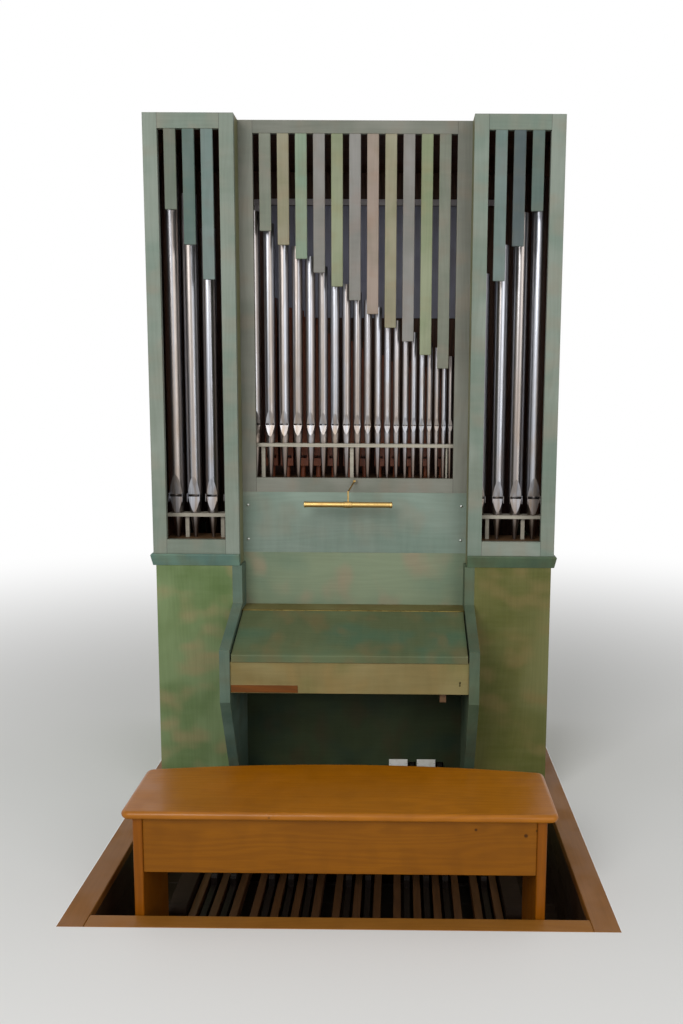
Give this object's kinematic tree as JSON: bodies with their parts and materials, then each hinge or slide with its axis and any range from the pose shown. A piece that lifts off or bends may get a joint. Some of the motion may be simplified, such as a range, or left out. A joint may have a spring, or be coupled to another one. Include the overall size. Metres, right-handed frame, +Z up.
{
  "type": "chamber pipe organ",
  "caption": "Chamber pipe organ with a stained wooden case, open front pipes under hanging slats, lidded keyboard, pedalboard in a boarded floor recess, pine bench and brass lamp",
  "frame": {"origin": "underside of the boarded recess at the middle of its outline", "axes": "+X to the right seen from the front, +Y towards the back of the case, +Z up"},
  "size_m": [1.63, 1.821, 2.81],
  "materials": {
    "pale_paint": "pale grey-green stain, worn",
    "slat_paint": "slats stained in many pale colours",
    "green_paint": "strong green stain with brown blotches",
    "olive_paint": "olive stain",
    "teal_paint": "teal stain",
    "lid_paint": "dark sage stain with teal patches",
    "knee_paint": "mottled dark green stain",
    "plain_back": "plain dull stain",
    "key_slip_wood": "thin beige stain",
    "inner_wood": "bare aged wood",
    "key_covering": "pale polished key tops and dark sharps",
    "pipe_metal": "polished pipe metal",
    "wooden_pipes": "reddish-brown varnish",
    "pit_boards": "dark brown varnished boards",
    "kerb_wood": "light brown worn floor edging",
    "pedal_wood": "worn pale wood",
    "bench_pine": "orange-brown varnished pine",
    "lamp_brass": "polished brass",
    "lever_iron": "dark painted iron"
  },
  "bodies": {
    "case": {"pit_floor": "pit_boards", "pit_lining": "pit_boards", "kerb_rails": "kerb_wood", "side_walls": "green_paint", "wing_returns": "olive_paint", "lower_front_panels": "green_paint", "cheeks": "teal_paint", "belt_rails": "teal_paint", "wing_frames": "pale_paint", "centre_frame": "pale_paint", "slats": "slat_paint", "case_back": "plain_back", "case_roof": "green_paint", "music_desk_panel": "pale_paint", "desk_panel": "pale_paint", "desk_ledge": "olive_paint", "key_slip": "key_slip_wood", "key_bed": "inner_wood", "manual_keys": "key_covering", "knee_panel": "knee_paint", "centre_pipes": "pipe_metal", "wing_pipes": "pipe_metal", "rack_boards": "inner_wood", "wind_chests": "inner_wood", "wood_pipes": "wooden_pipes", "bench_top": "bench_pine", "bench_frame": "bench_pine", "pedal_frame": "pedal_wood"},
    "lid": {"lid": "lid_paint"},
    "lamp": {"lamp": "lamp_brass"},
    "coupler_lever_left": {"coupler_lever_left": "lever_iron"},
    "coupler_lever_right": {"coupler_lever_right": "lever_iron"},
    "pedal_1": {"pedal_1": "pedal_wood"},
    "pedal_2": {"pedal_2": "pedal_wood"},
    "pedal_3": {"pedal_3": "pedal_wood"},
    "pedal_4": {"pedal_4": "pedal_wood"},
    "pedal_5": {"pedal_5": "pedal_wood"},
    "pedal_6": {"pedal_6": "pedal_wood"},
    "pedal_7": {"pedal_7": "pedal_wood"},
    "pedal_8": {"pedal_8": "pedal_wood"},
    "pedal_9": {"pedal_9": "pedal_wood"},
    "pedal_10": {"pedal_10": "pedal_wood"},
    "pedal_11": {"pedal_11": "pedal_wood"},
    "pedal_12": {"pedal_12": "pedal_wood"},
    "pedal_13": {"pedal_13": "pedal_wood"},
    "pedal_14": {"pedal_14": "pedal_wood"},
    "pedal_15": {"pedal_15": "pedal_wood"},
    "pedal_16": {"pedal_16": "pedal_wood"},
    "pedal_17": {"pedal_17": "pedal_wood"},
    "pedal_18": {"pedal_18": "pedal_wood"},
    "pedal_19": {"pedal_19": "pedal_wood"},
    "pedal_20": {"pedal_20": "pedal_wood"},
    "pedal_21": {"pedal_21": "pedal_wood"},
    "pedal_22": {"pedal_22": "pedal_wood"},
    "pedal_23": {"pedal_23": "pedal_wood"},
    "pedal_24": {"pedal_24": "pedal_wood"},
    "pedal_25": {"pedal_25": "pedal_wood"},
    "pedal_26": {"pedal_26": "pedal_wood"},
    "pedal_27": {"pedal_27": "pedal_wood"}
  },
  "joints": [
    {"name": "lid_hinge", "type": "hinge", "parent": "case", "child": "lid", "pos_m": [0, -0.0215, 1.042], "axis": [-1, 0, 0], "range_deg": [0, 120]},
    {"name": "lamp_knuckle", "type": "hinge", "parent": "case", "child": "lamp", "pos_m": [0, 0.0705, 1.516], "axis": [-1, 0, 0], "range_deg": [0, 40]},
    {"name": "coupler_left_pivot", "type": "hinge", "parent": "case", "child": "coupler_lever_left", "pos_m": [0.225, 0.1825, 0.407], "axis": [1, 0, 0], "range_deg": [0, 10], "stiffness_Nm_per_rad": 2, "springref_deg": -17.19},
    {"name": "coupler_right_pivot", "type": "hinge", "parent": "case", "child": "coupler_lever_right", "pos_m": [0.333, 0.1825, 0.407], "axis": [1, 0, 0], "range_deg": [0, 10], "stiffness_Nm_per_rad": 2, "springref_deg": -17.19},
    {"name": "pedal_1_axle", "type": "hinge", "parent": "case", "child": "pedal_1", "pos_m": [-0.51, -0.7915, 0.107], "axis": [-1, 0, 0], "range_deg": [0, 1.3], "stiffness_Nm_per_rad": 20, "springref_deg": -17.19},
    {"name": "pedal_2_axle", "type": "hinge", "parent": "case", "child": "pedal_2", "pos_m": [-0.476, -0.7915, 0.107], "axis": [-1, 0, 0], "range_deg": [0, 1.3], "stiffness_Nm_per_rad": 20, "springref_deg": -17.19},
    {"name": "pedal_3_axle", "type": "hinge", "parent": "case", "child": "pedal_3", "pos_m": [-0.442, -0.7915, 0.107], "axis": [-1, 0, 0], "range_deg": [0, 1.3], "stiffness_Nm_per_rad": 20, "springref_deg": -17.19},
    {"name": "pedal_4_axle", "type": "hinge", "parent": "case", "child": "pedal_4", "pos_m": [-0.408, -0.7915, 0.107], "axis": [-1, 0, 0], "range_deg": [0, 1.3], "stiffness_Nm_per_rad": 20, "springref_deg": -17.19},
    {"name": "pedal_5_axle", "type": "hinge", "parent": "case", "child": "pedal_5", "pos_m": [-0.374, -0.7915, 0.107], "axis": [-1, 0, 0], "range_deg": [0, 1.3], "stiffness_Nm_per_rad": 20, "springref_deg": -17.19},
    {"name": "pedal_6_axle", "type": "hinge", "parent": "case", "child": "pedal_6", "pos_m": [-0.306, -0.7915, 0.107], "axis": [-1, 0, 0], "range_deg": [0, 1.3], "stiffness_Nm_per_rad": 20, "springref_deg": -17.19},
    {"name": "pedal_7_axle", "type": "hinge", "parent": "case", "child": "pedal_7", "pos_m": [-0.272, -0.7915, 0.107], "axis": [-1, 0, 0], "range_deg": [0, 1.3], "stiffness_Nm_per_rad": 20, "springref_deg": -17.19},
    {"name": "pedal_8_axle", "type": "hinge", "parent": "case", "child": "pedal_8", "pos_m": [-0.238, -0.7915, 0.107], "axis": [-1, 0, 0], "range_deg": [0, 1.3], "stiffness_Nm_per_rad": 20, "springref_deg": -17.19},
    {"name": "pedal_9_axle", "type": "hinge", "parent": "case", "child": "pedal_9", "pos_m": [-0.204, -0.7915, 0.107], "axis": [-1, 0, 0], "range_deg": [0, 1.3], "stiffness_Nm_per_rad": 20, "springref_deg": -17.19},
    {"name": "pedal_10_axle", "type": "hinge", "parent": "case", "child": "pedal_10", "pos_m": [-0.17, -0.7915, 0.107], "axis": [-1, 0, 0], "range_deg": [0, 1.3], "stiffness_Nm_per_rad": 20, "springref_deg": -17.19},
    {"name": "pedal_11_axle", "type": "hinge", "parent": "case", "child": "pedal_11", "pos_m": [-0.136, -0.7915, 0.107], "axis": [-1, 0, 0], "range_deg": [0, 1.3], "stiffness_Nm_per_rad": 20, "springref_deg": -17.19},
    {"name": "pedal_12_axle", "type": "hinge", "parent": "case", "child": "pedal_12", "pos_m": [-0.102, -0.7915, 0.107], "axis": [-1, 0, 0], "range_deg": [0, 1.3], "stiffness_Nm_per_rad": 20, "springref_deg": -17.19},
    {"name": "pedal_13_axle", "type": "hinge", "parent": "case", "child": "pedal_13", "pos_m": [-0.034, -0.7915, 0.107], "axis": [-1, 0, 0], "range_deg": [0, 1.3], "stiffness_Nm_per_rad": 20, "springref_deg": -17.19},
    {"name": "pedal_14_axle", "type": "hinge", "parent": "case", "child": "pedal_14", "pos_m": [0, -0.7915, 0.107], "axis": [-1, 0, 0], "range_deg": [0, 1.3], "stiffness_Nm_per_rad": 20, "springref_deg": -17.19},
    {"name": "pedal_15_axle", "type": "hinge", "parent": "case", "child": "pedal_15", "pos_m": [0.034, -0.7915, 0.107], "axis": [-1, 0, 0], "range_deg": [0, 1.3], "stiffness_Nm_per_rad": 20, "springref_deg": -17.19},
    {"name": "pedal_16_axle", "type": "hinge", "parent": "case", "child": "pedal_16", "pos_m": [0.068, -0.7915, 0.107], "axis": [-1, 0, 0], "range_deg": [0, 1.3], "stiffness_Nm_per_rad": 20, "springref_deg": -17.19},
    {"name": "pedal_17_axle", "type": "hinge", "parent": "case", "child": "pedal_17", "pos_m": [0.102, -0.7915, 0.107], "axis": [-1, 0, 0], "range_deg": [0, 1.3], "stiffness_Nm_per_rad": 20, "springref_deg": -17.19},
    {"name": "pedal_18_axle", "type": "hinge", "parent": "case", "child": "pedal_18", "pos_m": [0.17, -0.7915, 0.107], "axis": [-1, 0, 0], "range_deg": [0, 1.3], "stiffness_Nm_per_rad": 20, "springref_deg": -17.19},
    {"name": "pedal_19_axle", "type": "hinge", "parent": "case", "child": "pedal_19", "pos_m": [0.204, -0.7915, 0.107], "axis": [-1, 0, 0], "range_deg": [0, 1.3], "stiffness_Nm_per_rad": 20, "springref_deg": -17.19},
    {"name": "pedal_20_axle", "type": "hinge", "parent": "case", "child": "pedal_20", "pos_m": [0.238, -0.7915, 0.107], "axis": [-1, 0, 0], "range_deg": [0, 1.3], "stiffness_Nm_per_rad": 20, "springref_deg": -17.19},
    {"name": "pedal_21_axle", "type": "hinge", "parent": "case", "child": "pedal_21", "pos_m": [0.272, -0.7915, 0.107], "axis": [-1, 0, 0], "range_deg": [0, 1.3], "stiffness_Nm_per_rad": 20, "springref_deg": -17.19},
    {"name": "pedal_22_axle", "type": "hinge", "parent": "case", "child": "pedal_22", "pos_m": [0.306, -0.7915, 0.107], "axis": [-1, 0, 0], "range_deg": [0, 1.3], "stiffness_Nm_per_rad": 20, "springref_deg": -17.19},
    {"name": "pedal_23_axle", "type": "hinge", "parent": "case", "child": "pedal_23", "pos_m": [0.34, -0.7915, 0.107], "axis": [-1, 0, 0], "range_deg": [0, 1.3], "stiffness_Nm_per_rad": 20, "springref_deg": -17.19},
    {"name": "pedal_24_axle", "type": "hinge", "parent": "case", "child": "pedal_24", "pos_m": [0.374, -0.7915, 0.107], "axis": [-1, 0, 0], "range_deg": [0, 1.3], "stiffness_Nm_per_rad": 20, "springref_deg": -17.19},
    {"name": "pedal_25_axle", "type": "hinge", "parent": "case", "child": "pedal_25", "pos_m": [0.442, -0.7915, 0.107], "axis": [-1, 0, 0], "range_deg": [0, 1.3], "stiffness_Nm_per_rad": 20, "springref_deg": -17.19},
    {"name": "pedal_26_axle", "type": "hinge", "parent": "case", "child": "pedal_26", "pos_m": [0.476, -0.7915, 0.107], "axis": [-1, 0, 0], "range_deg": [0, 1.3], "stiffness_Nm_per_rad": 20, "springref_deg": -17.19},
    {"name": "pedal_27_axle", "type": "hinge", "parent": "case", "child": "pedal_27", "pos_m": [0.51, -0.7915, 0.107], "axis": [-1, 0, 0], "range_deg": [0, 1.3], "stiffness_Nm_per_rad": 20, "springref_deg": -17.19}
  ]
}
